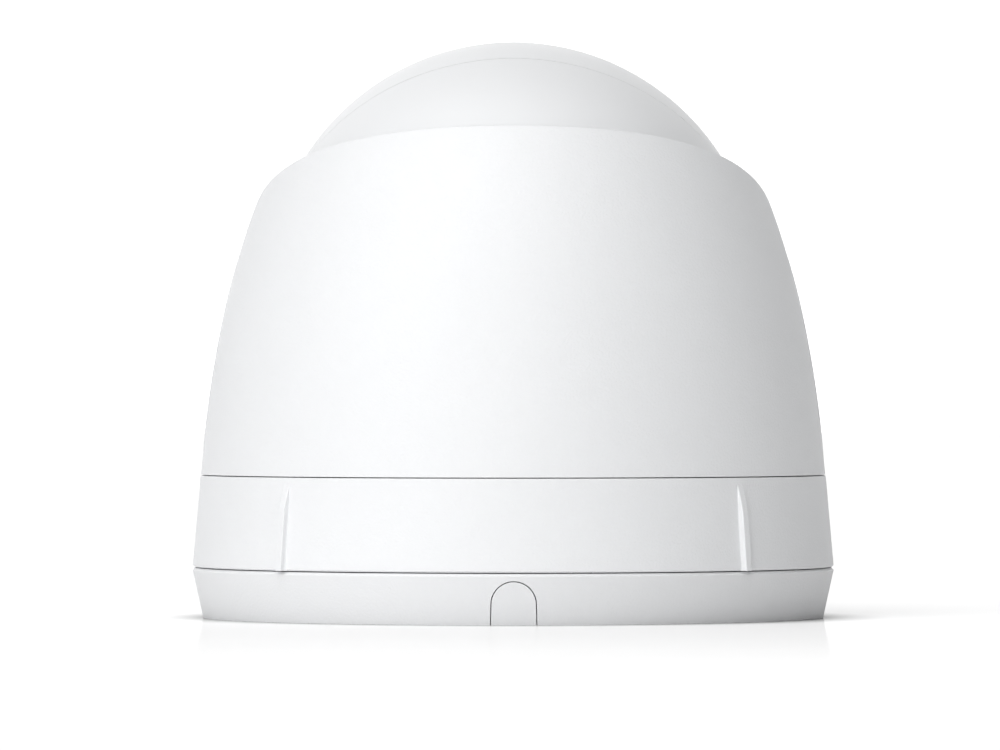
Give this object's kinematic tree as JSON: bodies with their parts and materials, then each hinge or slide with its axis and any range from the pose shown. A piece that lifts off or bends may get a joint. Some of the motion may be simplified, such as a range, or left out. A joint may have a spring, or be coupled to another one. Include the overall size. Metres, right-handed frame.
{
  "type": "security camera",
  "caption": "Compact turret camera: round base ring and ribbed collar, tapered housing cut high at the back, ball with a round dark lens window.",
  "frame": {"origin": "centre of the flat underside of the mounting plate", "axes": "+Z away from the mounting surface, -Y the way the lens looks at rest, +Y the back with the cable exit"},
  "size_m": [0.086, 0.086, 0.0772],
  "materials": {
    "shell_white": "fine spark-eroded matte",
    "plate_white": "fine spark-eroded matte",
    "ball_white": "smooth satin",
    "window_black": "polished, infrared-clear black",
    "clear_glass": "polished",
    "lens_glass": "coated",
    "filter_glass": "coated, infrared-blocking",
    "lens_black": "black anodised",
    "black_plastic": "moulded",
    "frame_grey": "glass-filled, moulded",
    "rubber_black": "matte",
    "foam_grey": "soft foam",
    "washer_white": "slick low-friction sheet",
    "circuit_board": "solder resist",
    "chip_black": "moulded package",
    "sensor_dark": "glass-covered package",
    "screw_steel": "zinc plated",
    "jack_shield": "stamped shield",
    "contact_gold": "gold plated",
    "spreader_aluminium": "bare extrusion",
    "led_clear": "clear epoxy"
  },
  "bodies": {
    "mounting_plate": {"mounting_plate": "plate_white", "wall_gasket": "foam_grey"},
    "cable_exit_plug": {"cable_exit_plug": "plate_white"},
    "camera_base": {"base_collar": "shell_white", "network_jack": "jack_shield", "jack_contacts": "contact_gold", "port_seal": "rubber_black", "base_board": "circuit_board", "base_board_screws": "screw_steel", "network_transformer": "black_plastic", "power_transformer": "black_plastic", "base_connector": "black_plastic", "base_cover": "frame_grey", "base_cover_screws": "screw_steel", "base_cover_seal": "rubber_black", "reset_switch": "black_plastic"},
    "reset_button": {"reset_button": "black_plastic"},
    "housing": {"yoke_frame": "frame_grey", "pan_washer": "washer_white", "pan_retaining_ring": "frame_grey", "retaining_ring_screws": "screw_steel", "ball_friction_ring": "rubber_black", "rear_hood": "shell_white", "front_bezel": "shell_white", "hood_screws": "screw_steel"},
    "ball_rear": {"rear_ball_shell": "ball_white", "tilt_pins": "screw_steel", "cable_gland": "rubber_black", "processor_board": "circuit_board", "processor_board_screws": "screw_steel", "processor_chip": "chip_black", "memory_chips": "chip_black", "thermal_pad": "foam_grey", "heat_spreader": "spreader_aluminium"},
    "ball_front": {"front_ball_shell": "ball_white", "roll_o_ring": "rubber_black", "roll_ring": "frame_grey", "roll_ring_screws": "screw_steel", "front_window": "window_black", "lens_cover_glass": "clear_glass", "window_gasket": "rubber_black", "led_board": "circuit_board", "led_board_screws": "screw_steel", "ir_leds": "led_clear", "microphone": "screw_steel", "status_light_pipe": "led_clear", "light_baffle": "rubber_black", "lens_holder": "black_plastic", "lens_barrel": "lens_black", "front_lens_element": "lens_glass", "rear_lens_element": "lens_glass", "sensor_board": "circuit_board", "sensor_board_screws": "screw_steel", "image_sensor": "sensor_dark", "filter_actuator": "black_plastic"},
    "filter_carriage": {"filter_carriage": "black_plastic", "ir_cut_glass": "filter_glass", "clear_glass": "clear_glass"}
  },
  "joints": [
    {"name": "plate_twist", "type": "hinge", "parent": "mounting_plate", "child": "camera_base", "pos_m": [0, 0, 0], "axis": [0, 0, 1], "range_deg": [-20, 0]},
    {"name": "exit_plug_slide", "type": "slide", "parent": "mounting_plate", "child": "cable_exit_plug", "axis": [0, 1, 0], "range_m": [0, 0.008]},
    {"name": "reset_press", "type": "slide", "parent": "camera_base", "child": "reset_button", "axis": [0, 0, 1], "range_m": [0, 0.0004], "stiffness_N_per_m": 300},
    {"name": "pan", "type": "hinge", "parent": "camera_base", "child": "housing", "pos_m": [0, 0, 0], "axis": [0, 0, 1], "range_deg": [-175, 175]},
    {"name": "tilt", "type": "hinge", "parent": "housing", "child": "ball_rear", "pos_m": [0, 0, 0.04407], "axis": [-1, 0, 0], "range_deg": [-13, 62]},
    {"name": "roll", "type": "hinge", "parent": "ball_rear", "child": "ball_front", "pos_m": [0, 0, 0.04407], "axis": [0, -0.8829, 0.4695], "range_deg": [-175, 175]},
    {"name": "filter_slide", "type": "slide", "parent": "ball_front", "child": "filter_carriage", "axis": [-1, 0, 0], "range_m": [0, 0.0072]}
  ]
}
